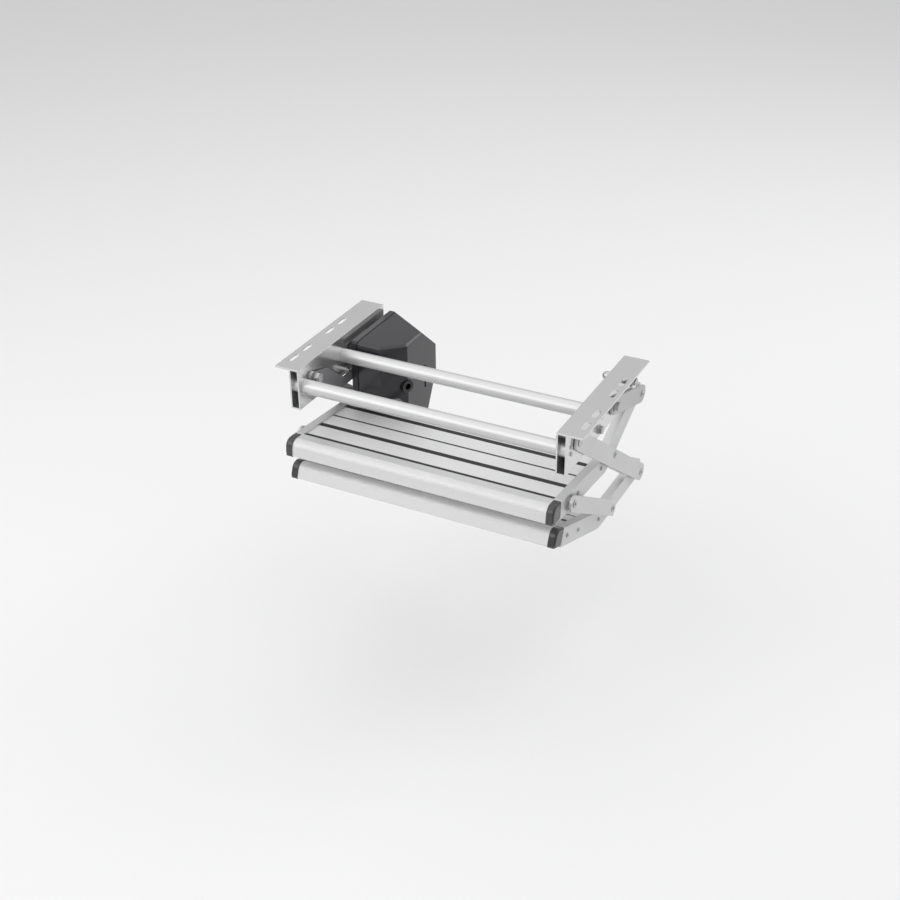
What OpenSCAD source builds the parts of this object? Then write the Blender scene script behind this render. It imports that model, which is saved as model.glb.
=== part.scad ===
// Folding double entry step for a caravan, drawn folded, as it hangs under the floor of the vehicle.
// Millimetres. X runs across the step, Y towards the inside of the vehicle, Z up.
// The origin lies half way between the two mounting rails, at the middle of their bolt slots,
// on the plane where the rails meet the floor. The treads swing out towards -Y.

/* [Mounting rails] */
// Width over the two mounting flanges
step_w = 560; // [520:5:640]
// Length of a rail
rail_len = 293; // [270:1:330]
// Width of the box section of a rail
box_w = 18; // [16:1:24]
// Height of the box section of a rail
box_h = 75; // [70:1:85]
// Wall of the box section
box_wall = 2.5; // [2:0.1:3.5]
// Reach of the mounting flange past the outer face of the box
flange_reach = 27; // [24:1:34]
// Thickness of the mounting flange
flange_t = 3; // [2.5:0.1:5]
// Length of a bolt slot over its round ends
slot_len = 28; // [20:1:34]
// Width of a bolt slot
slot_w = 9; // [6.5:0.5:11]
// Distance from the flange's outer edge to the middle of the slots
slot_edge = 12; // [10:0.5:14]
// Distance between the two inner slots
slot_inner_pitch = 75; // [60:1:90]
// Distance between the two outer slots
slot_outer_pitch = 160; // [145:1:175]
// Distance from the front end of a rail to the middle of its slots
slot_mid = 120; // [112:1:130]

/* [Cross tubes] */
// Outer diameter of a cross tube
tube_d = 25; // [22:0.5:28]
// Wall of a cross tube
tube_wall = 2; // [1.5:0.1:3]
// Depth of the tube axes below the floor plane
tube_depth = 37.5; // [33:0.5:42]
// Front tube, behind the front end of the rails
front_tube_y = 18.7; // [15:0.1:22]
// Rear tube, behind the front end of the rails
rear_tube_y = 147.5; // [138:0.5:150]
// Length of the plug in a tube end
plug_len = 18; // [14:1:30]
// Distance between the two screws of a tube end
tube_screw_pitch = 12; // [10:0.5:14]
// Shank diameter of the small screws
screw_d = 4; // [3:0.5:5]
// Head diameter of the small screws
screw_head_d = 7.5; // [6:0.5:9]
// Head height of the small screws
screw_head_h = 1.6; // [1:0.1:2.5]

/* [Main arms] */
// Arm pivot, behind the front end of the rails
arm_pivot_y = 43.8; // [40:0.1:48]
// Arm pivot, depth below the floor plane
arm_pivot_depth = 32.1; // [28:0.1:36]
// Slope of the folded arm, down towards the rear
arm_slope = 36.3; // [35:0.1:38]
// Distance between the end pivots of an arm
arm_len = 386.8; // [375:0.1:398]
// Middle pivot, distance along the arm
arm_mid = 202.4; // [198:0.1:207]
// Middle pivot, height above the line of the end pivots
arm_mid_up = 6.8; // [5:0.1:8]
// Width of an arm
arm_w = 32; // [28:1:36]
// Thickness of the arms and links
arm_t = 4; // [3:0.5:5]
// Inward reach of the stiffening lip along the lower edge of an arm
lip_w = 16; // [10:1:18]
// Thickness of the lip
lip_t = 3; // [2:0.5:4]
// Free length between the middle pivot and the lip
lip_from = 46; // [44:1:60]
// Free length between the lip and the lower end pivot
lip_to = 60; // [58:1:80]

/* [Rear links and tread links] */
// Rear link pivot, behind the front end of the rails
link_pivot_y = 199; // [196:0.1:203]
// Rear link pivot, depth below the floor plane
link_pivot_depth = 46.2; // [44:0.1:49]
// Distance between the pivots of a rear link
rear_link_len = 140.2; // [137:0.1:144]
// Width of a rear link
rear_link_w = 32; // [28:1:34]
// Distance between the pivots of a tread link
tread_link_len = 218.2; // [212:0.1:224]
// Width of a tread link
tread_link_w = 28; // [26:1:34]
// Tread link pivot on the upper tread, behind the front of its side frame
stud_u = 36.8; // [34:0.1:40]
// Tread link pivot on the upper tread, below the tread's top plane
stud_v = 16.6; // [13:0.1:18]

/* [Travel] */
// Turn of the main arms between folded and out
arm_swing = 66; // [62:0.5:68]
// Turn of the upper tread between folded and out
upper_turn = 3.6; // [2:0.1:5]
// Turn of the lower tread between folded and out
lower_turn = 20.5; // [19:0.1:22]

/* [Treads] */
// Front of the upper side frames, behind the front end of the rails
upper_front_y = -4.4; // [-7:0.1:-2]
// Top of the upper side frames at their front, depth below the floor plane
upper_front_depth = 121.9; // [119:0.1:126]
// Slope of the folded upper tread, down towards the rear
upper_slope = 5.5; // [4.5:0.1:6.5]
// Front of the lower side frames, behind the front end of the rails
lower_front_y = 11.4; // [9:0.1:14]
// Top of the lower side frames at their front, depth below the floor plane
lower_front_depth = 179.9; // [177:0.1:184]
// Slope of the folded lower tread, down towards the rear
lower_slope = 21; // [20:0.1:22]
// Gap between the outer face of a rail and the outer face of a side frame, seen from the front
frame_inset = 4.4; // [3.5:0.1:6]
// Height of a side frame
frame_h = 33; // [31:0.5:36]
// Thickness of a side frame
frame_t = 3.5; // [3:0.1:4]
// Width of the inward flange on top of a side frame
frame_flange_w = 15; // [12:0.5:18]
// Thickness of that flange
frame_flange_t = 3; // [2:0.1:3.5]
// Half the width of the upper side frame where it rises to the rear link
tail_half = 19; // [17:0.5:21]
// Length of the lower side frame past the arm's end pivot
tail_end = 19.4; // [17:0.2:24]
// Depth of the nose profile in front of the side frame
nose_reach = 27; // [24:0.5:30]
// Depth of the nose profile behind the front of the side frame
nose_back = 6; // [5:0.5:8.5]
// Height of the nose profile
nose_h = 30; // [28:0.5:32]
// Radius of the rounded top edge of the nose
nose_r = 13; // [11:0.5:15]
// Wall of the nose and of the planks
profile_wall = 2.2; // [1.6:0.1:3]
// Number of grip ribs on the nose
rib_count = 9; // [5:1:12]
// Radius of the grooves between the ribs
rib_r = 0.7; // [0.5:0.1:0.9]
// Height of a plank
plank_h = 26; // [22:0.5:28]
// Width of the groove behind the nose
front_groove_w = 8; // [6:0.5:9]
// Width of the grooves between the planks
groove_w = 5; // [3:0.5:6]
// Depth of those grooves
groove_depth = 9; // [5:0.5:14]
// Depth of the dark strips in the wide grooves below the planks' tops
strip_depth = 0.6; // [0.4:0.1:3]
// Width of the thin groove in the middle
thin_groove_w = 2; // [1.5:0.1:3]
// Width of the front plank
plank_1_w = 46; // [44:0.5:50]
// Width of the second plank
plank_2_w = 40; // [37:0.5:43]
// Width of the third plank
plank_3_w = 42; // [39:0.5:45]
// Width of the rear plank
plank_4_w = 34; // [30:0.5:37]
// Length of an end cap across the step
cap_w = 13; // [10:0.5:16]
// How far an end cap stands proud of the nose
cap_proud = 1.2; // [0.8:0.1:2]

/* [Pivots] */
// Pin diameter of the pivots on the treads
pin_d = 10; // [8:0.5:12]
// Bolt diameter of the arm pivots on the rails
rail_pin_d = 12; // [10:0.5:14]
// Outer diameter of the spacer bushes
bush_d = 18; // [16:0.5:20]
// Diameter of the flat heads of the pins
pin_head_d = 13; // [12:0.5:18]
// Height of those heads
pin_head_h = 1.2; // [1:0.1:3]
// Width over flats of the hexagon sockets in those heads
socket_af = 5; // [4:0.5:6]
// Washer between a rail and an arm or link
pivot_washer_t = 1; // [0.8:0.1:2]
// Hexagon bolts, width over flats
hex_af = 13; // [12:0.5:15]
// Running clearance round a pin, on the radius
run_gap = 0.05; // [0.02:0.01:0.08]
// Gap between flat faces that turn past each other
side_gap = 0.3; // [0.2:0.05:0.5]

/* [Bolts on the rails] */
// Side bolt, behind the front end of the rails
rail_bolt_y = 138; // [136:0.5:141]
// Side bolt, depth below the floor plane
rail_bolt_depth = 60.5; // [59:0.5:63]
// Inward length of the sleeve on the side bolt
sleeve_len = 12; // [8:0.5:16]
// Buffer bolt, behind the front end of the rails
buffer_y = 240; // [236:0.5:250]
// Buffer bolt, depth below the floor plane
buffer_depth = 16; // [15:0.5:18]
// Diameter of the rubber buffer
buffer_d = 20; // [16:0.5:22]
// Length of the rubber buffer
buffer_len = 18; // [14:0.5:22]

/* [Drive] */
// Output shaft diameter
shaft_d = 16; // [14:0.5:18]
// Gap between the left rail and the motor bracket
bracket_gap = 4; // [3:0.5:6]
// Thickness of the motor bracket
bracket_t = 3; // [2.5:0.5:4]
// Front of the motor housing, behind the front end of the rails
housing_y = 161.5; // [161:0.5:164]
// Length of the motor housing from front to rear
housing_len = 144; // [138:1:150]
// Depth of the housing's roof below the floor plane
housing_top = 15.5; // [12:0.5:18]
// Height of the motor housing
housing_h = 166; // [150:1:172]
// Height of the housing's front part, which ends above the upper tread
housing_front_h = 104; // [98:1:108]
// Bevel along the edges of the housing's roof
roof_bevel = 4; // [2:0.5:6]
// Reach of the motor housing from the bracket to its inner face
housing_reach = 96; // [90:1:104]
// Wall of the motor cover
cover_wall = 2.5; // [2:0.1:4]
// Thickness of the housing's back plate
back_plate_t = 11; // [8:0.5:14]
// Width of the groove between the back plate and the cover
cover_groove = 2; // [1.5:0.1:3]
// Diameter of the cable outlet
outlet_d = 24; // [20:0.5:28]
// Middle of the cable outlet, depth below the housing's roof
outlet_depth = 82; // [76:1:88]
// Turn of the cable outlet towards the front
outlet_turn = 22; // [10:1:30]
// Upper end of the housing's raised strip, depth below its roof
cover_rib_depth = 71; // [66:1:76]
// Height of that strip
cover_rib_h = 44; // [36:1:48]

/* [Hidden] */
$fn = 48;
// Degrees between the points of a rounded corner
arc_step = 6;
// Play between pieces that are fixed together
fit = 0.1;

// Planes across the step, measured from its middle
rail_out_x = step_w / 2 - flange_reach;
rail_in_x = rail_out_x - box_w;
slot_x = step_w / 2 - slot_edge;
arm_x = rail_out_x + pivot_washer_t;
arm_out_x = arm_x + arm_t;
frame_x = rail_out_x - frame_inset;
frame_in_x = frame_x - frame_t;
cap_x = frame_x - cap_w;
bracket_x = rail_in_x - bracket_gap - bracket_t;
plate_x = bracket_x - back_plate_t;
cover_x = plate_x - cover_groove;
housing_x = bracket_x - housing_reach;

// Turns the point p by the angle a in the plane seen from the side, where +Y turns up to +Z
function turn(p, a) = [p[0] * cos(a) - p[1] * sin(a), p[0] * sin(a) + p[1] * cos(a)];
function unit(v) = v / norm(v);

// Pivots of the folded step as [distance behind the rails' front ends, height]
arm_pivot = [arm_pivot_y, -arm_pivot_depth];
mid_pivot = arm_pivot + turn([arm_mid, arm_mid_up], -arm_slope);
end_pivot = arm_pivot + turn([arm_len, 0], -arm_slope);
link_pivot = [link_pivot_y, -link_pivot_depth];
upper_front = [upper_front_y, -upper_front_depth];
lower_front = [lower_front_y, -lower_front_depth];
stud_pivot = upper_front + turn([stud_u, -stud_v], -upper_slope);

// The same points when the step is out
mid_out = arm_pivot + turn(mid_pivot - arm_pivot, -arm_swing);
end_out = arm_pivot + turn(end_pivot - arm_pivot, -arm_swing);
function upper_out(p) = mid_out + turn(p - mid_pivot, upper_turn);
function lower_out(p) = end_out + turn(p - end_pivot, lower_turn);

// Far end of a link of length l, so placed that the link fits both folded and out.
// near is its near pivot folded, shift the way that point of the far tread moves past it,
// and a the far tread's turn.
function link_end(near, shift, a, l) =
  let (n = turn(unit(shift), -a), c = -norm(shift) / 2, k = sqrt(l * l - c * c))
  near + n * c + [-n[1], n[0]] * k;
rear_link_end = link_end(link_pivot, upper_out(link_pivot) - link_pivot, upper_turn, rear_link_len);
tread_link_end =
  link_end(stud_pivot, lower_out(stud_pivot) - upper_out(stud_pivot), lower_turn, tread_link_len);

// Pivots seen from the front of their own side frame, along and square to its top
function on_upper(p) = turn(p - upper_front, upper_slope);
function on_lower(p) = turn(p - lower_front, lower_slope);

// Points of the arc that rounds the corner b between a and c
function corner(a, b, c, r) =
  let (u = unit(a - b), w = unit(c - b), half = acos(u * w) / 2)
  let (o = b + unit(u + w) * r / sin(half), p = b + u * r / tan(half) - o, q = b + w * r / tan(half) - o)
  let (s = atan2(p[1], p[0]), d = (atan2(q[1], q[0]) - s + 540) % 360 - 180)
  let (n = ceil(abs(d) / arc_step))
  [for (i = [0 : n]) o + r * [cos(s + d * i / n), sin(s + d * i / n)]];

// Outline through corners given as [first, second, radius]
function xy(c) = [c[0], c[1]];
function outline(c) = let (n = len(c)) [
  for (i = [0 : n - 1])
    each c[i][2] == 0 ? [xy(c[i])] : corner(xy(c[(i + n - 1) % n]), xy(c[i]), xy(c[(i + 1) % n]), c[i][2])
];

// The corners of an outline moved inwards by d; the outline runs anticlockwise
function normal_of(a, b) = let (e = unit(b - a)) [-e[1], e[0]];
function inset(c, d) = let (n = len(c)) [
  for (i = [0 : n - 1])
    let (n0 = normal_of(xy(c[(i + n - 1) % n]), xy(c[i])), n1 = normal_of(xy(c[i]), xy(c[(i + 1) % n])))
    let (m = (n0 + n1) * d / (1 + n0 * n1))
    [c[i][0] + m[0], c[i][1] + m[1], max(c[i][2] - d, 0.5)]
];

// Brings a piece from the front ends of the rails to the middle of the slots
module from_front() {
  translate([0, -slot_mid, 0]) children();
}

// Raises a side view, drawn as [back, up], to a plate from x to x + t
module side_plate(x, t) {
  from_front() translate([x, 0, 0]) rotate([90, 0, 90]) linear_extrude(height = t) children();
}

// A round bar along X from x0 to x1 at the point p of the side view
module bar(p, x0, x1, d) {
  from_front() translate([x0, p[0], p[1]]) rotate([0, 90, 0]) cylinder(h = x1 - x0, d = d);
}

// A six-sided bar along X
module hex_bar(p, x0, x1, af) {
  from_front() translate([x0, p[0], p[1]]) rotate([0, 90, 0])
    cylinder(h = x1 - x0, d = af / cos(30), $fn = 6);
}

module both_sides() {
  children();
  mirror([1, 0, 0]) children();
}

module on_upper_plane() {
  translate(upper_front) rotate(-upper_slope) children();
}

module on_lower_plane() {
  translate(lower_front) rotate(-lower_slope) children();
}

// Mounting rails

module slot(y) {
  translate([slot_x, y, -flange_t - 1]) {
    translate([0, -(slot_len - slot_w) / 2, 0]) cylinder(h = flange_t + 2, d = slot_w);
    translate([0, (slot_len - slot_w) / 2, 0]) cylinder(h = flange_t + 2, d = slot_w);
    translate([-slot_w / 2, -(slot_len - slot_w) / 2, 0]) cube([slot_w, slot_len - slot_w, flange_t + 2]);
  }
}

module rail_section() {
  difference() {
    union() {
      translate([rail_in_x, -box_h]) square([box_w, box_h]);
      translate([rail_in_x, -flange_t]) square([box_w + flange_reach, flange_t]);
    }
    translate([rail_in_x + box_wall, box_wall - box_h])
      square([box_w - 2 * box_wall, box_h - box_wall - flange_t]);
  }
}

module rail_blank() {
  difference() {
    from_front() translate([0, rail_len, 0]) rotate([90, 0, 0])
      linear_extrude(height = rail_len) rail_section();
    for (s = [-1, 1]) {
      slot(s * slot_inner_pitch / 2);
      slot(s * slot_outer_pitch / 2);
    }
    for (y = [front_tube_y, rear_tube_y]) {
      bar([y, -tube_depth], rail_in_x - 1, rail_in_x + box_wall + 1, tube_d + 2 * fit);
      for (s = [-1, 1])
        bar([y, s * tube_screw_pitch / 2 - tube_depth],
            rail_out_x - box_wall - 1, rail_out_x + 1, screw_d + 2 * fit);
    }
    bar(arm_pivot, rail_in_x - 1, rail_out_x + 1, rail_pin_d + 2 * fit);
    bar([rail_bolt_y, -rail_bolt_depth], rail_in_x - 1, rail_out_x + 1, pin_d + 2 * fit);
  }
}

module mounting_rail_left() {
  color("silver") mirror([1, 0, 0]) difference() {
    rail_blank();
    bar(link_pivot, rail_in_x - 1, rail_out_x + 1, shaft_d + 2 * run_gap);
    for (p = bracket_points) bar(p, rail_in_x - 1, rail_in_x + box_wall + 1, screw_d + 2 * fit);
  }
}

module mounting_rail_right() {
  color("silver") difference() {
    rail_blank();
    bar(link_pivot, rail_in_x - 1, rail_out_x + 1, rail_pin_d + 2 * fit);
    bar([buffer_y, -buffer_depth], rail_in_x - 1, rail_out_x + 1, pin_d + 2 * fit);
  }
}

// Cross tubes

module cross_tube(y) {
  half = rail_out_x - box_wall;
  difference() {
    bar([y, -tube_depth], -half, half, tube_d);
    bar([y, -tube_depth], -half - 1, half + 1, tube_d - 2 * tube_wall);
  }
}

module front_cross_tube() {
  color("gainsboro") cross_tube(front_tube_y);
}

module rear_cross_tube() {
  color("gainsboro") cross_tube(rear_tube_y);
}

module tube_plugs() {
  end = rail_out_x - box_wall;
  color("dimgray") both_sides() for (y = [front_tube_y, rear_tube_y]) difference() {
    bar([y, -tube_depth], end - plug_len, end, tube_d - 2 * tube_wall - 2 * fit);
    for (s = [-1, 1])
      bar([y, s * tube_screw_pitch / 2 - tube_depth], end - plug_len + 4, end + 1, screw_d + 2 * fit);
  }
}

module tube_screws() {
  color("gray") both_sides() for (y = [front_tube_y, rear_tube_y]) for (s = [-1, 1]) {
    bar([y, s * tube_screw_pitch / 2 - tube_depth],
        rail_out_x - box_wall - plug_len + 5, rail_out_x, screw_d);
    bar([y, s * tube_screw_pitch / 2 - tube_depth], rail_out_x, rail_out_x + screw_head_h, screw_head_d);
  }
}

// Pivots on the rails

module washer(p, x0, x1, d, bore) {
  difference() {
    bar(p, x0, x1, d);
    bar(p, x0 - 1, x1 + 1, bore);
  }
}

module pivot_washers() {
  color("darkgray") {
    both_sides() washer(arm_pivot, rail_out_x, arm_x - side_gap, 2 * rail_pin_d, rail_pin_d + 2 * fit);
    washer(link_pivot, rail_out_x, arm_x - side_gap, 2 * rail_pin_d, rail_pin_d + 2 * fit);
    washer(arm_pivot, rail_in_x - 2, rail_in_x, 2 * rail_pin_d, rail_pin_d + 2 * fit);
    washer(link_pivot, rail_in_x - 2, rail_in_x, 2 * rail_pin_d, rail_pin_d + 2 * fit);
    mirror([1, 0, 0]) washer(arm_pivot, bracket_x - 2, bracket_x, 20, rail_pin_d + 2 * fit);
  }
}

module flat_head(p, x, d) {
  bar(p, x + side_gap, x + side_gap + pin_head_h, d);
}

module arm_pivot_bolts() {
  color("gray") {
    bar(arm_pivot, rail_in_x - 16, arm_out_x + side_gap, rail_pin_d);
    flat_head(arm_pivot, arm_out_x, 1.5 * rail_pin_d);
    mirror([1, 0, 0]) bar(arm_pivot, bracket_x - 9, arm_out_x + side_gap, rail_pin_d);
    mirror([1, 0, 0]) flat_head(arm_pivot, arm_out_x, 1.5 * rail_pin_d);
  }
}

module nut(p, x0, x1, af, bore) {
  difference() {
    hex_bar(p, x0, x1, af);
    bar(p, x0 - 1, x1 + 1, bore);
  }
}

module arm_pivot_nuts() {
  color("gainsboro") {
    nut(arm_pivot, rail_in_x - 12, rail_in_x - 2, hex_af + 5, rail_pin_d + 2 * fit);
    mirror([1, 0, 0]) nut(arm_pivot, bracket_x - 8, bracket_x - 2, hex_af + 5, rail_pin_d + 2 * fit);
  }
}

module link_pivot_bolt() {
  color("gray") {
    bar(link_pivot, rail_in_x - 16, arm_out_x + side_gap + 1.5, rail_pin_d);
    bar(link_pivot, arm_out_x + side_gap, arm_out_x + side_gap + 1.5, 2 * rail_pin_d - 3);
    hex_bar(link_pivot, arm_out_x + side_gap + 1.5, arm_out_x + side_gap + 7, hex_af + 2);
  }
}

module link_pivot_nut() {
  color("gainsboro") nut(link_pivot, rail_in_x - 12, rail_in_x - 2, hex_af + 5, rail_pin_d + 2 * fit);
}

// Side bolts and buffer

module rail_bolts() {
  p = [rail_bolt_y, -rail_bolt_depth];
  color("gainsboro") both_sides() {
    bar(p, rail_in_x - sleeve_len - 4, rail_out_x, pin_d - 2);
    bar(p, rail_out_x, rail_out_x + 1.5, hex_af + 3);
    hex_bar(p, rail_out_x + 1.5, rail_out_x + 7, hex_af);
  }
}

module rail_bolt_sleeves() {
  color("silver") both_sides()
    washer([rail_bolt_y, -rail_bolt_depth], rail_in_x - sleeve_len, rail_in_x, hex_af, pin_d - 2 + 2 * fit);
}

module buffer_bolt() {
  p = [buffer_y, -buffer_depth];
  x = rail_out_x + buffer_len;
  ring = buffer_len / 3;
  color("gainsboro") {
    bar(p, rail_in_x - 10, x, pin_d - 2);
    bar(p, rail_out_x, x - ring, buffer_d - 5);
    bar(p, x, x + 1.5, buffer_d - 2);
    hex_bar(p, x + 1.5, x + 6.5, hex_af);
  }
}

module rubber_buffer() {
  x = rail_out_x + buffer_len;
  color("black") washer([buffer_y, -buffer_depth], x - buffer_len / 3, x, buffer_d, pin_d - 2 + 2 * fit);
}

module dome_nut() {
  p = [buffer_y, -buffer_depth];
  af = hex_af + 3;
  color("gainsboro") difference() {
    union() {
      bar(p, rail_in_x - 1.5, rail_in_x, af + 4);
      hex_bar(p, rail_in_x - 8, rail_in_x - 1.5, af);
      bar(p, rail_in_x - 10.5, rail_in_x - 8, af - 1);
      from_front() translate([rail_in_x - 10.5, p[0], p[1]]) sphere(d = af - 1);
    }
    bar(p, rail_in_x - 11, rail_in_x + 1, pin_d - 2 + 2 * fit);
  }
}

// Motor bracket, drawn on the left side of the step

bracket_front = front_tube_y + tube_d / 2 + 2;
bracket_rear = housing_y + housing_len * 0.54;
bracket_low = -box_h - 15;
bracket_points = [
  [housing_y + housing_len * 0.15, -link_pivot_depth - 20],
  [housing_y + housing_len * 0.47, -link_pivot_depth]
];

bracket_corners = [
  [bracket_front, -arm_pivot_depth - 14, 8],
  [arm_pivot_y + tube_d * 2, bracket_low, 10],
  [bracket_rear, bracket_low, 4],
  [bracket_rear, -housing_top - 10, 4],
  [rear_tube_y + tube_d / 2 + 4, -housing_top - 10, 3],
  [rear_tube_y + tube_d / 2 + 4, -rail_bolt_depth - 12, 4],
  [rail_bolt_y - 5, -rail_bolt_depth - 12, 8],
  [arm_pivot_y + tube_d * 1.6, -arm_pivot_depth, 8],
  [bracket_front, -arm_pivot_depth + 14, 8]
];

module motor_bracket() {
  color("dimgray") mirror([1, 0, 0]) difference() {
    side_plate(bracket_x, bracket_t) polygon(outline(bracket_corners));
    bar(arm_pivot, bracket_x - 1, bracket_x + bracket_t + 1, rail_pin_d + 2 * fit);
    bar(link_pivot, bracket_x - 1, bracket_x + bracket_t + 1, shaft_d + 4);
    for (p = bracket_points) bar(p, bracket_x - 1, bracket_x + bracket_t + 1, screw_d + 2 * fit);
  }
}

module bracket_spacers() {
  color("silver") mirror([1, 0, 0]) {
    washer(arm_pivot, rail_in_x - bracket_gap, rail_in_x, 2 * rail_pin_d - 4, rail_pin_d + 2 * fit);
    for (p = bracket_points) washer(p, rail_in_x - bracket_gap, rail_in_x, 3 * screw_d, screw_d + 2 * fit);
  }
}

module bracket_screws() {
  color("gray") mirror([1, 0, 0]) for (p = bracket_points) {
    bar(p, bracket_x, rail_in_x + box_wall + 3, screw_d);
    bar(p, bracket_x - 2.5, bracket_x, 2 * screw_d);
  }
}

// Motor housing: its side view, its plan and the slanting face behind the roof

side_corners = [
  [housing_y, -housing_top - housing_front_h, 6],
  [housing_y + 20, -housing_top - housing_front_h, 6],
  [housing_y + housing_h - housing_front_h, -housing_top - housing_h, 8],
  [housing_y + housing_len - 39, -housing_top - housing_h, 10],
  [housing_y + housing_len, -housing_top - housing_h * 0.54, 30],
  [housing_y + housing_len, -housing_top, 2],
  [housing_y + roof_bevel, -housing_top, 1],
  [housing_y, -housing_top - roof_bevel, 1]
];

// Slanting front corner of the housing, seen from above, and the way it faces
front_cut = [36, 31];
front_cut_turn = atan2(-front_cut[0], front_cut[1]);

// Takes off all that lies beyond a plane through p, which faces the way az and rises by up
module slice(p, az, up, d) {
  w = 2 * housing_reach;
  translate(p) rotate([0, 0, az]) rotate([0, -up, 0]) translate([-d, -w, -w]) cube(2 * w);
}

// Solid shape of the housing on the left, moved inwards by d
module housing_solid(d) {
  x = -housing_x;
  corner_x = x - front_cut[0] / 2;
  plan = [
    [-bracket_x - 1, housing_y, 0],
    [x - front_cut[0], housing_y, 4],
    [x, housing_y + front_cut[1], 4],
    [x, housing_y + housing_len, 6],
    [-bracket_x - 1, housing_y + housing_len, 0]
  ];
  difference() {
    intersection() {
      translate([0, 0, -housing_top - housing_h])
        linear_extrude(height = housing_h) polygon(outline(inset(plan, d)));
      translate([-bracket_x - 2, 0, 0]) rotate([90, 0, 90]) linear_extrude(height = housing_reach + 4)
        polygon(outline(inset(side_corners, d)));
    }
    slice([x, housing_y + housing_len * 0.6, -housing_top], 57, 44, d);
    slice([x - roof_bevel, housing_y, -housing_top], 0, 45, d);
    slice([corner_x, housing_y + front_cut[1] / 2, -housing_top - roof_bevel], front_cut_turn, 45, d);
  }
}

// Keeps what lies between two planes across the step
module between(x0, x1) {
  intersection() {
    children();
    translate([x0, housing_y - 10, -housing_top - housing_h - 10])
      cube([x1 - x0, housing_len + 20, housing_h + 20]);
  }
}

module motor_back_plate() {
  color("#3a3a3c") from_front() difference() {
    between(-bracket_x, -plate_x) housing_solid(0);
    translate([-bracket_x - 1, link_pivot[0], link_pivot[1]]) rotate([0, 90, 0])
      cylinder(h = back_plate_t + 2, d = shaft_d + 4);
    for (p = bracket_points)
      translate([-bracket_x - 1, p[0], p[1]]) rotate([0, 90, 0]) cylinder(h = 4, d = 2 * screw_d + 1);
  }
}

// The cable outlet sits on the edge behind the slanting front corner
module at_outlet() {
  translate([-housing_x - 1, housing_y + front_cut[1], -housing_top - outlet_depth])
    rotate([0, 90, -outlet_turn]) children();
}

module motor_cover() {
  rib_y = housing_y + housing_len * 0.67;
  color("#2c2c2e") from_front() difference() {
    union() {
      between(-cover_x, 0) housing_solid(0);
      between(-plate_x, -cover_x) housing_solid(1.5);
      translate([-housing_x - 1, rib_y, -housing_top - cover_rib_depth - cover_rib_h])
        cube([2.6, 4, cover_rib_h]);
      translate([-housing_x - 12, housing_y + housing_len - 1, -housing_top - 95]) cube([6, 4, 8]);
    }
    between(-plate_x - 1, 0) housing_solid(cover_wall);
    at_outlet() translate([0, 0, -20]) cylinder(h = 40, d = outlet_d + 2 * fit);
  }
}

// Gear case round the output shaft, with the motor lying behind it
module gearmotor() {
  case_d = 2 * (link_pivot_depth - housing_top - cover_wall - 2);
  case_len = 0.46 * housing_reach;
  motor_d = 0.4 * housing_reach;
  motor_len = housing_y + housing_len - 20 - link_pivot_y;
  color("gray") from_front() difference() {
    union() {
      translate([-plate_x, link_pivot[0], link_pivot[1]]) rotate([0, 90, 0])
        cylinder(h = case_len, d = case_d);
      translate([-plate_x + case_len / 2, link_pivot[0], link_pivot[1] - case_d / 2 + 4 - motor_d / 2])
        rotate([-90, 0, 0]) cylinder(h = motor_len, d = motor_d);
      translate([-plate_x + 8, link_pivot[0] - 18, link_pivot[1] - case_d / 2 - motor_d + 6])
        cube([case_len - 12, 36, motor_d + 6]);
    }
    translate([-plate_x - 1, link_pivot[0], link_pivot[1]]) rotate([0, 90, 0])
      cylinder(h = 36, d = shaft_d + 2 * run_gap);
  }
}

module cable_outlet() {
  color("black") from_front() at_outlet() translate([0, 0, -12]) difference() {
    cylinder(h = 14, d = outlet_d);
    translate([0, 0, -1]) cylinder(h = 16, d = outlet_d / 2);
  }
}

// Links and arms

// Side view of a flat link between two pivots; r rounds the corners of its far end
module link_shape(a, b, w, r) {
  d = unit(b - a) * w / 2;
  n = [-d[1], d[0]];
  polygon(outline([
    for (c = [[a - d - n, w / 2 - 0.05], [b + d - n, r], [b + d + n, r], [a - d + n, w / 2 - 0.05]])
      [c[0][0], c[0][1], c[1]]
  ]));
}

module rear_link(bore) {
  difference() {
    side_plate(arm_x, arm_t) link_shape(link_pivot, rear_link_end, rear_link_w, rear_link_w / 2 - 0.05);
    bar(link_pivot, arm_x - 1, arm_out_x + 1, bore);
    bar(rear_link_end, arm_x - 1, arm_out_x + 1, pin_d + 2 * fit);
  }
}

module rear_link_left() {
  color("darkgray") mirror([1, 0, 0]) rear_link(shaft_d + 2 * fit);
}

module rear_link_right() {
  color("darkgray") rear_link(rail_pin_d + 2 * run_gap);
}

module drive_shaft() {
  color("gray") mirror([1, 0, 0]) {
    bar(link_pivot, plate_x - 30, arm_out_x, shaft_d);
    bar(link_pivot, arm_out_x, arm_out_x + 1.5, 2 * rail_pin_d - 3);
    hex_bar(link_pivot, arm_out_x + 1.5, arm_out_x + 7, hex_af + 2);
    washer(link_pivot, rail_out_x + side_gap, arm_x, 2 * rail_pin_d, shaft_d);
  }
}

// Pin at the far end of a link, with its shoulder towards the side frame
module end_pin(p) {
  difference() {
    union() {
      bar(p, frame_x + side_gap, arm_x, bush_d);
      bar(p, arm_x, arm_out_x, pin_d);
      bar(p, arm_out_x, arm_out_x + pin_head_h, pin_head_d);
    }
    socket(p, arm_out_x + pin_head_h);
  }
}

// Hexagon socket in a head that ends at x
module socket(p, x) {
  hex_bar(p, x - 3, x + 1, socket_af);
}

module rear_link_pin_left() {
  color("gray") mirror([1, 0, 0]) end_pin(rear_link_end);
}

module rear_link_pin_right() {
  color("gray") end_pin(rear_link_end);
}

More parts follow.
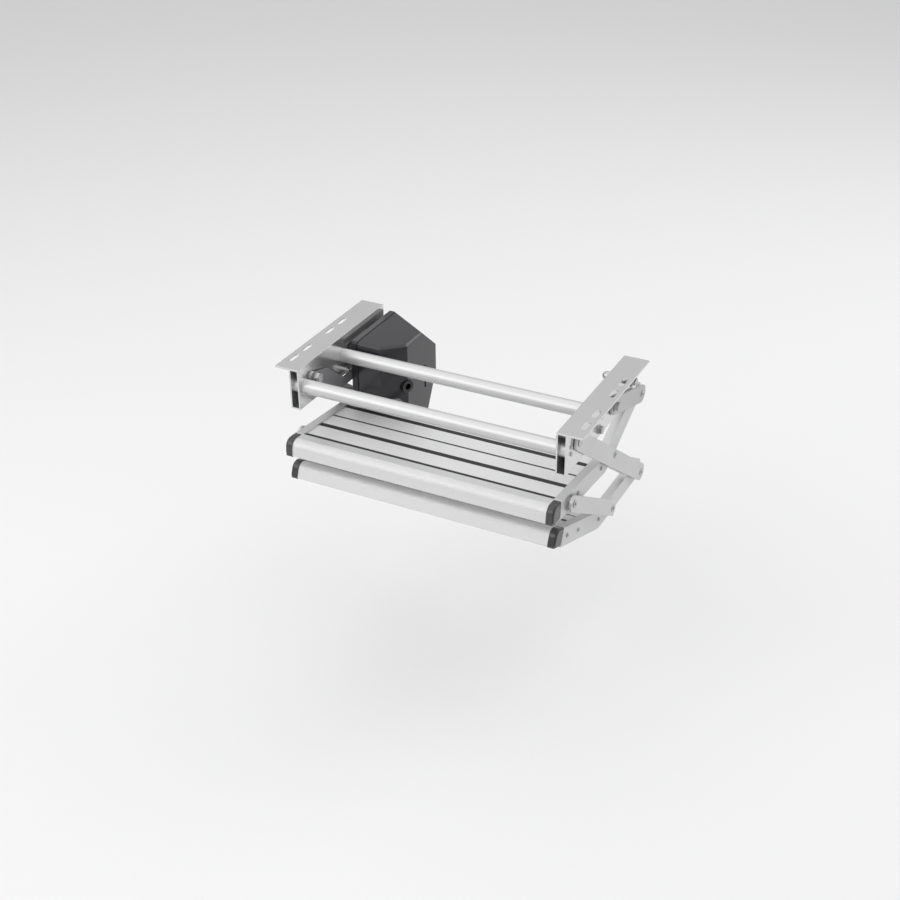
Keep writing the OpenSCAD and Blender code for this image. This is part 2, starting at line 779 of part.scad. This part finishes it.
module tread_link() {
  difference() {
    side_plate(arm_x, arm_t) link_shape(stud_pivot, tread_link_end, tread_link_w, tread_link_w / 4);
    bar(stud_pivot, arm_x - 1, arm_out_x + 1, pin_d + 2 * run_gap);
    bar(tread_link_end, arm_x - 1, arm_out_x + 1, pin_d + 2 * fit);
  }
}

module tread_link_left() {
  color("darkgray") mirror([1, 0, 0]) tread_link();
}

module tread_link_right() {
  color("darkgray") tread_link();
}

module tread_link_pin_left() {
  color("gray") mirror([1, 0, 0]) end_pin(tread_link_end);
}

module tread_link_pin_right() {
  color("gray") end_pin(tread_link_end);
}

// Main arm: a flat bar with round ends and a lip folded inwards along its lower edge
module main_arm() {
  lip_start = arm_mid + lip_from;
  lip_l = arm_len - lip_to - lip_start;
  lip_rise = arm_t / 8;
  difference() {
    union() {
      side_plate(arm_x, arm_t) link_shape(arm_pivot, end_pivot, arm_w, arm_w / 2 - 0.05);
      side_plate(arm_x - lip_w, lip_w + arm_t * 0.4)
        translate(arm_pivot) rotate(-arm_slope) translate([lip_start, lip_rise - arm_w / 2])
          square([lip_l, lip_t]);
    }
    bar(arm_pivot, arm_x - 1, arm_out_x + 1, rail_pin_d + 2 * run_gap);
    for (p = [mid_pivot, end_pivot]) bar(p, arm_x - 1, arm_out_x + 1, pin_d + 2 * fit);
  }
}

module main_arm_left() {
  color("lightgray") mirror([1, 0, 0]) main_arm();
}

module main_arm_right() {
  color("lightgray") main_arm();
}

module arm_bolts() {
  for (p = [mid_pivot, end_pivot]) difference() {
    union() {
      bar(p, frame_in_x - 0.9 * pin_d, arm_out_x, pin_d);
      bar(p, arm_out_x, arm_out_x + pin_head_h, pin_head_d);
    }
    socket(p, arm_out_x + pin_head_h);
  }
}

module arm_bolts_left() {
  color("gray") mirror([1, 0, 0]) arm_bolts();
}

module arm_bolts_right() {
  color("gray") arm_bolts();
}

module arm_bushes() {
  for (p = [mid_pivot, end_pivot]) washer(p, frame_x + side_gap, arm_x, bush_d, pin_d + 2 * fit);
}

module arm_bushes_left() {
  color("gainsboro") mirror([1, 0, 0]) arm_bushes();
}

module arm_bushes_right() {
  color("gainsboro") arm_bushes();
}

module arm_nuts() {
  for (p = [mid_pivot, end_pivot])
    nut(p, frame_in_x - 0.75 * pin_d, frame_in_x - side_gap, hex_af + 3, pin_d + 2 * fit);
}

module arm_nuts_left() {
  color("gainsboro") mirror([1, 0, 0]) arm_nuts();
}

module arm_nuts_right() {
  color("gainsboro") arm_nuts();
}

// Side frames

// Fronts of the four planks behind the nose
row_1 = nose_back + front_groove_w;
row_2 = row_1 + plank_1_w + groove_w;
row_3 = row_2 + plank_2_w + thin_groove_w;
row_4 = row_3 + plank_3_w + groove_w;

// Each plank as [front, width, groove before, groove behind, distance from its front to its rib]
plank_rows = [
  [row_1, plank_1_w, front_groove_w, groove_w, 10],
  [row_2, plank_2_w, groove_w, thin_groove_w, 10],
  [row_3, plank_3_w, thin_groove_w, groove_w, plank_3_w / 2],
  [row_4, plank_4_w, groove_w, 0, plank_4_w * 0.7]
];

// Places where the small screws hold the planks, along the top of a side frame
screw_row = [for (i = [0, 1, 3]) plank_rows[i][0] + plank_rows[i][4]];
screw_v = -frame_flange_t - plank_h / 2;

// Points where the line through p along d, moved up by h, crosses the height v
function meet(p, d, h, v) = let (q = p + [-d[1], d[0]] * h) [q[0] + d[0] * (v - q[1]) / d[1], v];

// Side view of a side frame: the flat part under the planks and the tail that runs through p along d
module frame_shape(p, d, half, past, end_r, top_r, low_r) {
  n = [-d[1], d[0]];
  top = meet(p, d, half, 0);
  low = meet(p, d, -half, -frame_h);
  a = p + d * past + n * half;
  b = p + d * past - n * half;
  start = cap_back + side_gap;
  polygon(outline([
    [start, -frame_h, 0],
    [low[0], low[1], low_r],
    [b[0], b[1], end_r],
    [a[0], a[1], end_r],
    [top[0], top[1], top_r],
    [start, 0, 0]
  ]));
}

// Rear end of an end cap, behind the front of the side frame
cap_back = 2;

upper_mid = on_upper(mid_pivot);
upper_tail = on_upper(rear_link_end);
lower_end = on_lower(end_pivot);

module upper_shape() {
  frame_shape(upper_tail, unit(upper_tail - upper_mid), tail_half, tail_half, tail_half - 0.01, 100, 60);
}

module lower_shape() {
  frame_shape(lower_end, [cos(lower_slope), sin(lower_slope)], frame_h / 2, tail_end, 4, 60, 80);
}

// The strip along the top of a side view, where the flange is folded inwards
module top_strip() {
  difference() {
    children();
    translate([0, -frame_flange_t]) children();
    translate([-50, -frame_h - 10]) square([50 + nose_back + fit, frame_h + 20]);
  }
}

module upper_frame() {
  difference() {
    union() {
      side_plate(frame_in_x, frame_t) on_upper_plane() upper_shape();
      side_plate(frame_x - frame_flange_w, frame_flange_w) on_upper_plane() top_strip() upper_shape();
    }
    for (p = [mid_pivot, rear_link_end, stud_pivot])
      bar(p, frame_in_x - 1, frame_x + 1, pin_d + 2 * run_gap);
    for (u = screw_row)
      bar(upper_front + turn([u, screw_v], -upper_slope), frame_in_x - 1, frame_x + 1, screw_d + 2 * fit);
  }
}

module upper_frame_left() {
  color("silver") mirror([1, 0, 0]) upper_frame();
}

module upper_frame_right() {
  color("silver") upper_frame();
}

module lower_frame() {
  difference() {
    union() {
      side_plate(frame_in_x, frame_t) on_lower_plane() lower_shape();
      side_plate(frame_x - frame_flange_w, frame_flange_w) on_lower_plane() top_strip() lower_shape();
    }
    for (p = [end_pivot, tread_link_end]) bar(p, frame_in_x - 1, frame_x + 1, pin_d + 2 * run_gap);
    for (u = screw_row)
      bar(lower_front + turn([u, screw_v], -lower_slope), frame_in_x - 1, frame_x + 1, screw_d + 2 * fit);
  }
}

module lower_frame_left() {
  color("silver") mirror([1, 0, 0]) lower_frame();
}

module lower_frame_right() {
  color("silver") lower_frame();
}

// Nose: a hollow profile with a rounded, ribbed top edge and a flat front

function nose_corners(d) = [
  [d - nose_reach, d - nose_h, 2],
  [nose_back - d, d - nose_h, 0],
  [nose_back - d, -d, 0],
  [d - nose_reach, -d, nose_r - d]
];

module nose_section() {
  difference() {
    polygon(outline(nose_corners(0)));
    polygon(outline(nose_corners(profile_wall)));
    for (i = [0 : rib_count - 1]) {
      a = 170 - 80 * i / (rib_count - 1);
      translate([nose_r - nose_reach, -nose_r] + nose_r * [cos(a), sin(a)]) circle(r = rib_r, $fn = 16);
    }
  }
}

module upper_nose() {
  color("gainsboro") side_plate(fit - frame_in_x, 2 * (frame_in_x - fit)) on_upper_plane() nose_section();
}

module lower_nose() {
  color("gainsboro") side_plate(fit - frame_in_x, 2 * (frame_in_x - fit)) on_lower_plane() nose_section();
}

// Planks: hollow profiles with a shoulder on each side, which closes the groove to the next one from below

// Section of a plank, with the round screw channel on its rib
module plank_section(u, w, g0, g1, rib) {
  w0 = profile_wall;
  top = -frame_flange_t - fit;
  difference() {
    union() {
      difference() {
        union() {
          translate([u, top - plank_h]) square([w, plank_h]);
          translate([u - g0 / 2 + fit, top - plank_h])
            square([w + (g0 + g1) / 2 - 2 * fit, plank_h - groove_depth]);
        }
        translate([u + w0, top - plank_h + w0]) square([rib - 1.5 * w0, plank_h - 2 * w0]);
        translate([u + rib + w0 / 2, top - plank_h + w0]) square([w - rib - 1.5 * w0, plank_h - 2 * w0]);
      }
      translate([u + rib, screw_v]) circle(d = 2 * screw_d);
    }
    translate([u + rib, screw_v]) circle(d = screw_d + 2 * fit);
  }
}

module planks() {
  for (p = plank_rows) plank_section(p[0], p[1], p[2], p[3], p[4]);
}

module upper_planks() {
  color("gainsboro") side_plate(fit - frame_in_x, 2 * (frame_in_x - fit)) on_upper_plane() planks();
}

module lower_planks() {
  color("gainsboro") side_plate(fit - frame_in_x, 2 * (frame_in_x - fit)) on_lower_plane() planks();
}

// Dark strips that close the wide grooves
module groove_strips() {
  low = fit - frame_flange_t - groove_depth;
  for (i = [0, 1, 3])
    translate([plank_rows[i][0] - plank_rows[i][2] + fit, low])
      square([plank_rows[i][2] - 2 * fit, groove_depth - strip_depth - 2 * fit]);
}

module upper_groove_strips() {
  color("#202020") side_plate(fit - frame_in_x, 2 * (frame_in_x - fit)) on_upper_plane() groove_strips();
}

module lower_groove_strips() {
  color("#202020") side_plate(fit - frame_in_x, 2 * (frame_in_x - fit)) on_lower_plane() groove_strips();
}

// End caps: they slide over the ends of the nose

module cap_shape() {
  polygon(outline([
    [-nose_reach - cap_proud, -nose_h - cap_proud, 4],
    [cap_back, -nose_h - cap_proud, 1],
    [cap_back, cap_proud, 1],
    [-nose_reach - cap_proud, cap_proud, nose_r + cap_proud]
  ]));
}

module cap_pocket() {
  polygon(outline([
    [-nose_reach - fit, -nose_h - fit, 2],
    [cap_back + 20, -nose_h - fit, 0],
    [cap_back + 20, fit, 0],
    [-nose_reach - fit, fit, nose_r + fit]
  ]));
}

module end_cap() {
  rim = 2;
  difference() {
    union() {
      side_plate(cap_x, cap_w - rim) children(0);
      side_plate(cap_x, cap_w) children(1);
    }
    side_plate(cap_x - 1, frame_in_x + 1 - cap_x) children(2);
  }
}

// The outer face of a cap is a little smaller than its rim
module cap_face() {
  polygon(outline([
    [-nose_reach + 1, -nose_h + 1, 5],
    [cap_back - 1, -nose_h + 1, 2],
    [cap_back - 1, -1, 2],
    [-nose_reach + 1, -1, nose_r]
  ]));
}

module upper_end_caps() {
  color("#303032") both_sides() end_cap() {
    on_upper_plane() cap_shape();
    on_upper_plane() cap_face();
    on_upper_plane() cap_pocket();
  }
}

module lower_end_caps() {
  color("#303032") both_sides() end_cap() {
    on_lower_plane() cap_shape();
    on_lower_plane() cap_face();
    on_lower_plane() cap_pocket();
  }
}

// Small screws through the side frames into the ends of the planks
module frame_screw(p) {
  difference() {
    union() {
      bar(p, frame_in_x - 12, frame_x, screw_d);
      bar(p, frame_x, frame_x + screw_head_h, screw_head_d);
    }
    hex_bar(p, frame_x, frame_x + screw_head_h + 1, screw_head_d * 0.45);
  }
}

module upper_screws() {
  color("gray") both_sides() for (u = screw_row) frame_screw(upper_front + turn([u, screw_v], -upper_slope));
}

module lower_screws() {
  color("gray") both_sides() for (u = screw_row) frame_screw(lower_front + turn([u, screw_v], -lower_slope));
}

// Studs on the upper side frames that carry the tread links

module tread_link_studs() {
  end = arm_out_x + side_gap + pin_head_h;
  color("gray") both_sides() difference() {
    union() {
      bar(stud_pivot, frame_in_x, end, pin_d);
      bar(stud_pivot, end - pin_head_h, end, pin_head_d);
    }
    socket(stud_pivot, end);
  }
}

module stud_bushes() {
  color("gainsboro") both_sides() washer(stud_pivot, frame_x, arm_x - side_gap, bush_d, pin_d + 2 * fit);
}

mounting_rail_left();
mounting_rail_right();
front_cross_tube();
rear_cross_tube();
tube_plugs();
tube_screws();
pivot_washers();
arm_pivot_bolts();
arm_pivot_nuts();
link_pivot_bolt();
link_pivot_nut();
rail_bolts();
rail_bolt_sleeves();
buffer_bolt();
rubber_buffer();
dome_nut();
motor_bracket();
bracket_spacers();
bracket_screws();
motor_back_plate();
motor_cover();
gearmotor();
cable_outlet();
rear_link_left();
drive_shaft();
rear_link_pin_left();
rear_link_right();
rear_link_pin_right();
main_arm_left();
arm_bolts_left();
arm_bushes_left();
arm_nuts_left();
main_arm_right();
arm_bolts_right();
arm_bushes_right();
arm_nuts_right();
upper_frame_left();
upper_frame_right();
upper_nose();
upper_planks();
upper_groove_strips();
upper_end_caps();
upper_screws();
tread_link_studs();
stud_bushes();
tread_link_left();
tread_link_pin_left();
tread_link_right();
tread_link_pin_right();
lower_frame_left();
lower_frame_right();
lower_nose();
lower_planks();
lower_groove_strips();
lower_end_caps();
lower_screws();
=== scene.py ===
import bpy
import math
from mathutils import Matrix, Vector


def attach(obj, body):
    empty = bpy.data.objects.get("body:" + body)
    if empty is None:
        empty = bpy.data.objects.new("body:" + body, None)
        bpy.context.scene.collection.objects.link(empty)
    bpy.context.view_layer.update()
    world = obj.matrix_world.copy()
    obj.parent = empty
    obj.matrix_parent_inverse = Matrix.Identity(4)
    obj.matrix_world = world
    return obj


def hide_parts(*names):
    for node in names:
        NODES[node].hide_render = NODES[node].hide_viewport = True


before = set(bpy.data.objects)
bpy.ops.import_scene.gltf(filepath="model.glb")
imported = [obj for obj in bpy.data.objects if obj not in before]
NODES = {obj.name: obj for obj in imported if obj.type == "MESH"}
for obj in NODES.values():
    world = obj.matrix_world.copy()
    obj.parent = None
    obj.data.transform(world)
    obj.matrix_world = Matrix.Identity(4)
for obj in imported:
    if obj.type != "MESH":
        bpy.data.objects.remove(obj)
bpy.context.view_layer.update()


# Helpers for materials

def new_material(name, color, roughness, metallic=0.0):
    m = bpy.data.materials.new(name)
    m.use_nodes = True
    m.node_tree.nodes.clear()
    out = node(m, "ShaderNodeOutputMaterial")
    shader = node(m, "ShaderNodeBsdfPrincipled")
    link(m, shader.outputs[0], out.inputs[0])
    shader.inputs["Base Color"].default_value = (*color, 1)
    shader.inputs["Roughness"].default_value = roughness
    shader.inputs["Metallic"].default_value = metallic
    return m, shader


def node(m, kind):
    return m.node_tree.nodes.new(kind)


def link(m, a, b):
    m.node_tree.links.new(a, b)


def ramp(m, source, low, high, start, end):
    """Colour that goes from low to high while the source goes from start to end."""
    r = node(m, "ShaderNodeValToRGB")
    r.color_ramp.elements[0].position = start
    r.color_ramp.elements[1].position = end
    r.color_ramp.elements[0].color = (*low, 1)
    r.color_ramp.elements[1].color = (*high, 1)
    link(m, source, r.inputs[0])
    return r.outputs[0]


def spread(m, source, low, high):
    """Number that goes from low to high while the source goes from 0 to 1."""
    r = node(m, "ShaderNodeMapRange")
    r.inputs["To Min"].default_value = low
    r.inputs["To Max"].default_value = high
    link(m, source, r.inputs["Value"])
    return r.outputs["Result"]


def noise(m, scale, stretch, detail):
    """Noise in the object's own space, drawn out along the axis whose stretch is smallest."""
    where = node(m, "ShaderNodeTexCoord")
    mapping = node(m, "ShaderNodeMapping")
    mapping.inputs["Scale"].default_value = stretch
    link(m, where.outputs["Object"], mapping.inputs["Vector"])
    n = node(m, "ShaderNodeTexNoise")
    n.inputs["Scale"].default_value = scale
    n.inputs["Detail"].default_value = detail
    link(m, mapping.outputs["Vector"], n.inputs["Vector"])
    return n.outputs["Fac"]


def soft_edges(m, shader, radius, height, strength, distance):
    """Rounded edges of the given radius, or none at 0, and fine bumps of the given height."""
    bump = node(m, "ShaderNodeBump")
    bump.inputs["Strength"].default_value = strength
    bump.inputs["Distance"].default_value = distance
    link(m, height, bump.inputs["Height"])
    if radius > 0:
        edge = node(m, "ShaderNodeBevel")
        edge.samples = 8
        edge.inputs["Radius"].default_value = radius
        link(m, edge.outputs["Normal"], bump.inputs["Normal"])
    link(m, bump.outputs["Normal"], shader.inputs["Normal"])


# Materials

# How a noise is stretched along X, Y and Z: evenly, or drawn out as a grain
EVEN = (1, 1, 1)
DRAWN_X = (1, 30, 30)
DRAWN_Y = (30, 1, 30)
ROLLED = (30, 3, 3)
LINE_SCALE, CLOUD_SCALE, BLOTCH_SCALE, TINT_SCALE = 140, 9, 320, 14
# Heights of bumps and radii of edges, in metres
LINE_HEIGHT, BLOTCH_HEIGHT, GRAIN_HEIGHT = 0.00001, 0.00005, 0.00006
STEEL_EDGE = 0.0005


def aluminium(name, shade, roughness, grain, metallic=0.6, edge=0.0005, clouds=0.04, vary=0.06, bump=0.02):
    """Satin aluminium: a fine drawn grain along one axis and a faint cloudiness."""
    m, shader = new_material(name, (shade, shade, shade * 1.01), roughness, metallic)
    lines = noise(m, LINE_SCALE, grain, 4.0)
    cloud = noise(m, CLOUD_SCALE, EVEN, 2.0)
    dark = (shade * (1 - clouds),) * 3
    light = (min(1, shade * (1 + clouds)),) * 3
    link(m, ramp(m, cloud, dark, light, 0.3, 0.7), shader.inputs["Base Color"])
    link(m, spread(m, lines, roughness - vary, roughness + vary), shader.inputs["Roughness"])
    soft_edges(m, shader, edge, lines, bump, LINE_HEIGHT)
    return m


def steel(name, shade, roughness):
    """Zinc-plated steel: bright, a little blotchy."""
    m, shader = new_material(name, (shade, shade, shade * 1.02), roughness, 0.9)
    blotch = noise(m, BLOTCH_SCALE, EVEN, 3.0)
    dark = (shade * 0.82,) * 3
    light = (min(1, shade * 1.1),) * 3
    link(m, ramp(m, blotch, dark, light, 0.35, 0.65), shader.inputs["Base Color"])
    link(m, spread(m, blotch, roughness - 0.06, roughness + 0.12), shader.inputs["Roughness"])
    soft_edges(m, shader, STEEL_EDGE, blotch, 0.1, BLOTCH_HEIGHT)
    return m


def plastic(name, color, roughness, grain_scale, strength, edge, specular=0.5):
    """Moulded plastic with its fine spark-eroded grain; also paint and cast metal."""
    m, shader = new_material(name, color, roughness)
    shader.inputs["Specular IOR Level"].default_value = specular
    grain = noise(m, grain_scale, EVEN, 4.0)
    tint = noise(m, TINT_SCALE, EVEN, 2.0)
    dark = tuple(c * 0.88 for c in color)
    light = tuple(min(1, c * 1.15) for c in color)
    link(m, ramp(m, tint, dark, light, 0.3, 0.7), shader.inputs["Base Color"])
    link(m, spread(m, grain, roughness - 0.05, roughness + 0.08), shader.inputs["Roughness"])
    soft_edges(m, shader, edge, grain, strength, GRAIN_HEIGHT)
    return m


rail_alu = aluminium("rail aluminium", 0.68, 0.17, DRAWN_Y, metallic=0.85, clouds=0.01, vary=0, bump=0)
tube_alu = aluminium("tube aluminium", 0.62, 0.46, DRAWN_X, metallic=0.75, clouds=0.01, vary=0.03)
nose_alu = aluminium("nose aluminium", 0.71, 0.48, DRAWN_X, edge=0, clouds=0.01)
plank_alu = aluminium("plank aluminium", 0.82, 0.45, DRAWN_X, metallic=0.35, edge=0.0008, clouds=0.02)
frame_alu = aluminium("side frame aluminium", 0.62, 0.42, ROLLED)
arm_alu = aluminium("arm aluminium", 0.6, 0.4, ROLLED)
link_alu = aluminium("link aluminium", 0.62, 0.4, ROLLED)
# The rear links get a darker copy of the link aluminium: painted shade for the shadow the rail flange
# casts on them
shaded_rear_alu = aluminium("rear link aluminium", 0.5, 0.42, ROLLED)
bolt_steel = steel("zinc steel", 0.5, 0.28)
housing = plastic("housing plastic", (0.024, 0.024, 0.028), 0.17, 900, 0.03, 0.0016)
plate = plastic("back plate plastic", (0.03, 0.03, 0.033), 0.3, 900, 0.06, 0.0012, specular=0.4)
caps = plastic("cap plastic", (0.046, 0.046, 0.048), 0.2, 700, 0.04, 0.0022)
plugs = plastic("plug plastic", (0.04, 0.04, 0.04), 0.5, 900, 0.1, 0.0005)
# Near-black plastic of the groove strips; where their lips lie over the plank edges it is painted shade
strips = plastic("strip plastic", (0.02, 0.02, 0.021), 0.6, 700, 0.15, 0.0003)
rubber = plastic("rubber", (0.006, 0.006, 0.006), 0.16, 400, 0.05, 0.0012)
paint = plastic("bracket paint", (0.17, 0.17, 0.175), 0.42, 600, 0.06, 0.0006)
iron = plastic("motor metal", (0.2, 0.2, 0.2), 0.5, 500, 0.2, 0.001)

# A piece takes the material whose key is in its name, and zinc steel where there is none
LOOK = {
    "mounting_rail": rail_alu, "cross_tube": tube_alu, "tube_plugs": plugs, "motor_bracket": paint,
    "motor_back_plate": plate, "motor_cover": housing, "gearmotor": iron, "cable_outlet": rubber,
    "rubber_buffer": rubber, "rear_link_left": shaded_rear_alu, "rear_link_right": shaded_rear_alu,
    "tread_link_left": link_alu, "tread_link_right": link_alu, "main_arm": arm_alu,
    "upper_frame": frame_alu, "lower_frame": frame_alu, "nose": nose_alu, "planks": plank_alu,
    "groove_strips": strips, "end_caps": caps,
}
for name, obj in NODES.items():
    look = bolt_steel
    for key, material in LOOK.items():
        if key in name:
            look = material
    obj.data.materials.clear()
    obj.data.materials.append(look)


# Dark strips in the grooves, whose lips over the plank edges are painted shade, in mm, seen from the front
# of the side frame and square to its top

NOSE_BACK = 6
GROOVE_WIDTHS = (8, 5, 2, 5)
PLANK_DEPTHS = (46, 40, 42, 34)
# How far the lips of each strip lie over the metal in front of it and behind it; the lips are painted
# shade, a dark sheet standing for the shade of the rounded plank edges and the groove
SHADE_LIPS = ((0, 4.4), (3.4, 3.4), (1.3, 1.3), (3.4, 3.4))
PLANK_TOP = -3.1
STRIP_HEIGHT = 8.7
STRIP_PLAY = 0.1
LIP_UNDER, LIP_TOP, LIP_BEVEL = 0.03, 0.3, 0.25
# Half the length of a strip, and of its painted-shade lips, which end at the flanges of the side frames
HALF_STRIP, HALF_LIP = 245.0, 233.3
# Front of each side frame as its Y, its Z and its slope in degrees
TREADS = {"upper": (-124.4, -121.9, 5.5), "lower": (-108.6, -179.9, 21.0)}


def strip_sections():
    """Each outline of strip body or painted-shade lips, with half its length."""
    low, rim, top = PLANK_TOP - STRIP_HEIGHT, PLANK_TOP + LIP_UNDER, PLANK_TOP + LIP_TOP
    front = NOSE_BACK
    sections = []
    for width, (before, behind), plank in zip(GROOVE_WIDTHS, SHADE_LIPS, PLANK_DEPTHS):
        a, b = front + STRIP_PLAY, front + width - STRIP_PLAY
        c, d = a - before, b + behind
        sections.append(([(a, low), (b, low), (b, rim), (a, rim)], HALF_STRIP))
        # The lips: a thin dark sheet over the plank edges, painted shade
        sections.append(([(c, rim), (d, rim), (d - LIP_BEVEL, top), (c + LIP_BEVEL, top)], HALF_LIP))
        front += width + plank
    return sections


def groove_strips(tread):
    y0, z0, slope = TREADS[tread]
    c, s = math.cos(math.radians(slope)), math.sin(math.radians(slope))
    verts, faces = [], []
    for section, half in strip_sections():
        k = len(verts)
        for x in (-half, half):
            for u, v in section:
                verts.append((x / 1000, (y0 + u * c + v * s) / 1000, (z0 - u * s + v * c) / 1000))
        faces += [(k + i, k + (i + 1) % 4, k + 4 + (i + 1) % 4, k + 4 + i) for i in range(4)]
        faces += [(k + 3, k + 2, k + 1, k), (k + 4, k + 5, k + 6, k + 7)]
    mesh = bpy.data.meshes.new(tread + "_strips")
    mesh.from_pydata(verts, [], faces)
    obj = bpy.data.objects.new(tread + "_strips", mesh)
    bpy.context.scene.collection.objects.link(obj)
    mesh.materials.append(strips)
    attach(obj, tread + "_tread")
    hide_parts(tread + "_groove_strips")


groove_strips("upper")
groove_strips("lower")

# Camera, solved from the photograph: angles in degrees, focal length in pixels, the rest in mm.
# It was measured from the rails' front ends.

AZ, EL, ROLL = map(math.radians, (27.189, 30.745, -0.559))
FOCAL_PX, IMAGE_PX = 1414.414, 900
SHIFT_X, SHIFT_Y, DIST = -45.218, 79.353, 2274.951
RAIL_FRONT = 120
SENSOR = 36
# Limits of the view, in metres
NEAR, FAR = 0.05, 60

back = Vector((math.sin(AZ) * math.cos(EL), -math.cos(AZ) * math.cos(EL), math.sin(EL)))
right = Vector((math.cos(AZ), math.sin(AZ), 0))
up = back.cross(right)
right, up = (math.cos(ROLL) * right + math.sin(ROLL) * up, -math.sin(ROLL) * right + math.cos(ROLL) * up)
place = (-SHIFT_X * right - SHIFT_Y * up + DIST * back - Vector((0, RAIL_FRONT, 0))) / 1000
cam_data = bpy.data.cameras.new("camera")
cam = bpy.data.objects.new("camera", cam_data)
bpy.context.scene.collection.objects.link(cam)
cam_data.sensor_width = SENSOR
cam_data.sensor_fit = "HORIZONTAL"
cam_data.lens = SENSOR * FOCAL_PX / IMAGE_PX
cam_data.clip_start = NEAR
cam_data.clip_end = FAR
pose = Matrix((right, up, back)).transposed().to_4x4()
pose.translation = place
cam.matrix_world = pose
bpy.context.scene.camera = cam

# Floor, lamps and dome, in metres

FLOOR_Z = -0.56
FLOOR_SIDE, FLOOR_REAR = 8, 12
FLOOR_SHADE = 0.8
HORIZON, OVERHEAD = (0.38, 0.38, 0.38), (0.74, 0.74, 0.75)
OVERHEAD_FROM = 0.6


def floor():
    corners = [(-FLOOR_SIDE, -FLOOR_SIDE), (FLOOR_SIDE, -FLOOR_SIDE), (FLOOR_SIDE, FLOOR_REAR),
               (-FLOOR_SIDE, FLOOR_REAR)]
    mesh = bpy.data.meshes.new("floor")
    mesh.from_pydata([(x, y, FLOOR_Z) for x, y in corners], [], [(0, 1, 2, 3)])
    obj = bpy.data.objects.new("floor", mesh)
    bpy.context.scene.collection.objects.link(obj)
    mesh.materials.append(new_material("floor", (FLOOR_SHADE,) * 3, 0.9)[0])


def lamp(name, at, target, size, power):
    data = bpy.data.lights.new(name, "AREA")
    data.shape = "RECTANGLE"
    data.size, data.size_y = size
    data.energy = power
    obj = bpy.data.objects.new(name, data)
    bpy.context.scene.collection.objects.link(obj)
    obj.location = at
    obj.rotation_euler = (Vector(target) - Vector(at)).to_track_quat("-Z", "Y").to_euler()


def dome():
    """A plain dome, brighter overhead than at the horizon."""
    world = bpy.data.worlds.new("world")
    bpy.context.scene.world = world
    world.use_nodes = True
    where = node(world, "ShaderNodeTexCoord")
    split = node(world, "ShaderNodeSeparateXYZ")
    link(world, where.outputs["Generated"], split.inputs[0])
    shade = ramp(world, split.outputs["Z"], HORIZON, OVERHEAD, 0, OVERHEAD_FROM)
    link(world, shade, world.node_tree.nodes["Background"].inputs[0])


floor()
lamp("key", (-1.9, -3.0, 2.1), (0, 0, -0.15), (4.2, 3.0), 68)
lamp("side", (2.0, 2.6, 1.6), (0, 0, -0.2), (1.8, 1.4), 18)
lamp("top", (0.1, 0.4, 2.9), (0, 0, 0), (4.4, 4.4), 42)
dome()
bpy.context.scene.view_settings.view_transform = "Standard"
